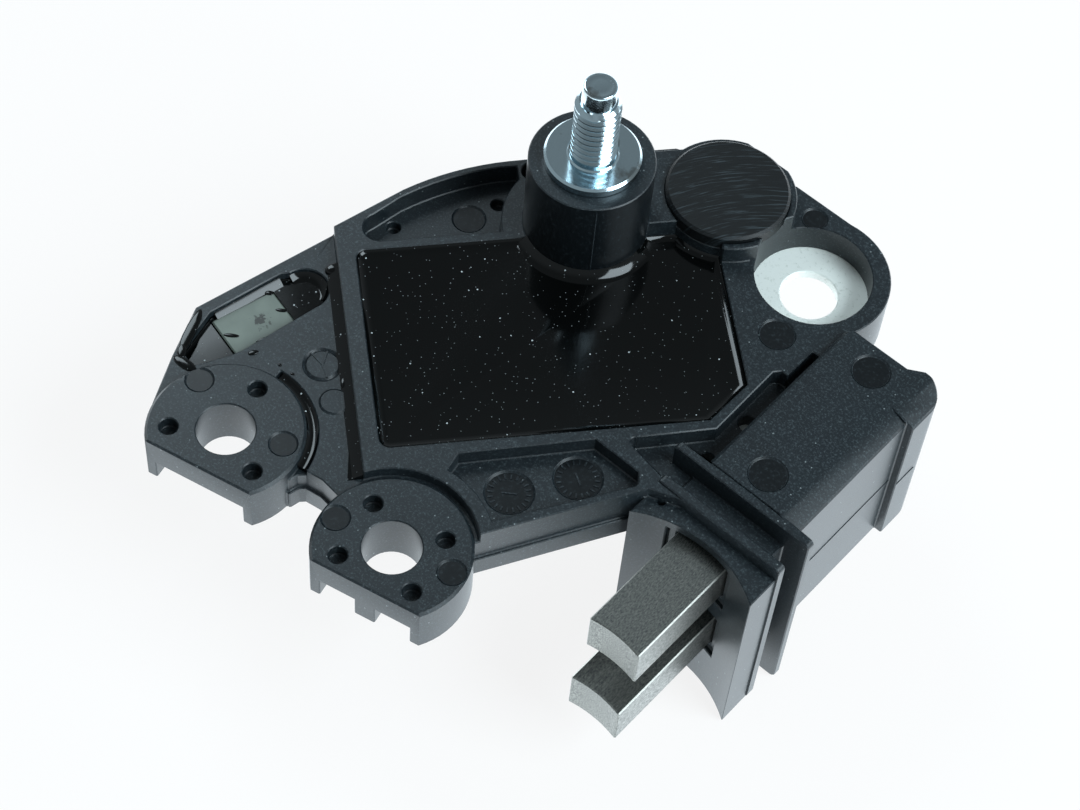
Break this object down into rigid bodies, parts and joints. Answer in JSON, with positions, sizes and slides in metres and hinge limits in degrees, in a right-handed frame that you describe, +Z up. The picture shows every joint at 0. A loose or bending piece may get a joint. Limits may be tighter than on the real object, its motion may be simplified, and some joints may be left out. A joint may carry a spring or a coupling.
{
  "type": "alternator voltage regulator",
  "caption": "Potted alternator voltage regulator with bolt bosses, output stud, ring terminal and two spring-loaded carbon brushes in a flanged curved nose.",
  "frame": {"origin": "centre of the front bolt bore on the seat plane", "axes": "+Z up out of the potted side along both bolt bores and the stud, -Y the way the brushes point, +X towards the brush box"},
  "size_m": [0.0675, 0.073, 0.0496],
  "materials": {
    "housing": "glass-filled black moulding",
    "main_potting": "black potting gel, gloss",
    "side_potting": "black potting gel, gloss",
    "side_capacitor": "pale grey",
    "capacitor_lead_a": "tinned",
    "capacitor_lead_b": "tinned",
    "heat_sink": "rolled",
    "circuit_substrate": "fired",
    "regulator_chip": "matt",
    "freewheel_diode": "matt",
    "terminal_stud": "zinc plated",
    "stud_lead": "tinned",
    "ground_ring": "tinned",
    "well_plug": "satin, scratched",
    "phase_terminal": "tinned",
    "field_lead_upper": "tinned",
    "field_lead_lower": "tinned",
    "brush_upper": "pressed carbon and copper",
    "brush_lower": "pressed carbon and copper",
    "spring_upper": "spring steel",
    "spring_lower": "spring steel",
    "pigtail_upper": "braided copper",
    "pigtail_lower": "braided copper"
  },
  "bodies": {
    "regulator": {"housing": "housing", "main_potting": "main_potting", "side_potting": "side_potting", "side_capacitor": "side_capacitor", "capacitor_lead_a": "capacitor_lead_a", "capacitor_lead_b": "capacitor_lead_b", "heat_sink": "heat_sink", "circuit_substrate": "circuit_substrate", "regulator_chip": "regulator_chip", "freewheel_diode": "freewheel_diode", "terminal_stud": "terminal_stud", "stud_lead": "stud_lead", "ground_ring": "ground_ring", "well_plug": "well_plug", "phase_terminal": "phase_terminal", "field_lead_upper": "field_lead_upper", "field_lead_lower": "field_lead_lower", "spring_upper": "spring_upper", "spring_lower": "spring_lower", "pigtail_upper": "pigtail_upper", "pigtail_lower": "pigtail_lower"},
    "upper_brush": {"brush_upper": "brush_upper"},
    "lower_brush": {"brush_lower": "brush_lower"}
  },
  "joints": [
    {"name": "brush_upper_slide", "type": "slide", "parent": "regulator", "child": "upper_brush", "axis": [0, 1, 0], "range_m": [0, 0.0132], "stiffness_N_per_m": 150, "springref_m": -0.008, "deforming": ["spring_upper", "pigtail_upper"]},
    {"name": "brush_lower_slide", "type": "slide", "parent": "regulator", "child": "lower_brush", "axis": [0, 1, 0], "range_m": [0, 0.015], "stiffness_N_per_m": 150, "springref_m": -0.008, "deforming": ["spring_lower", "pigtail_lower"]}
  ]
}
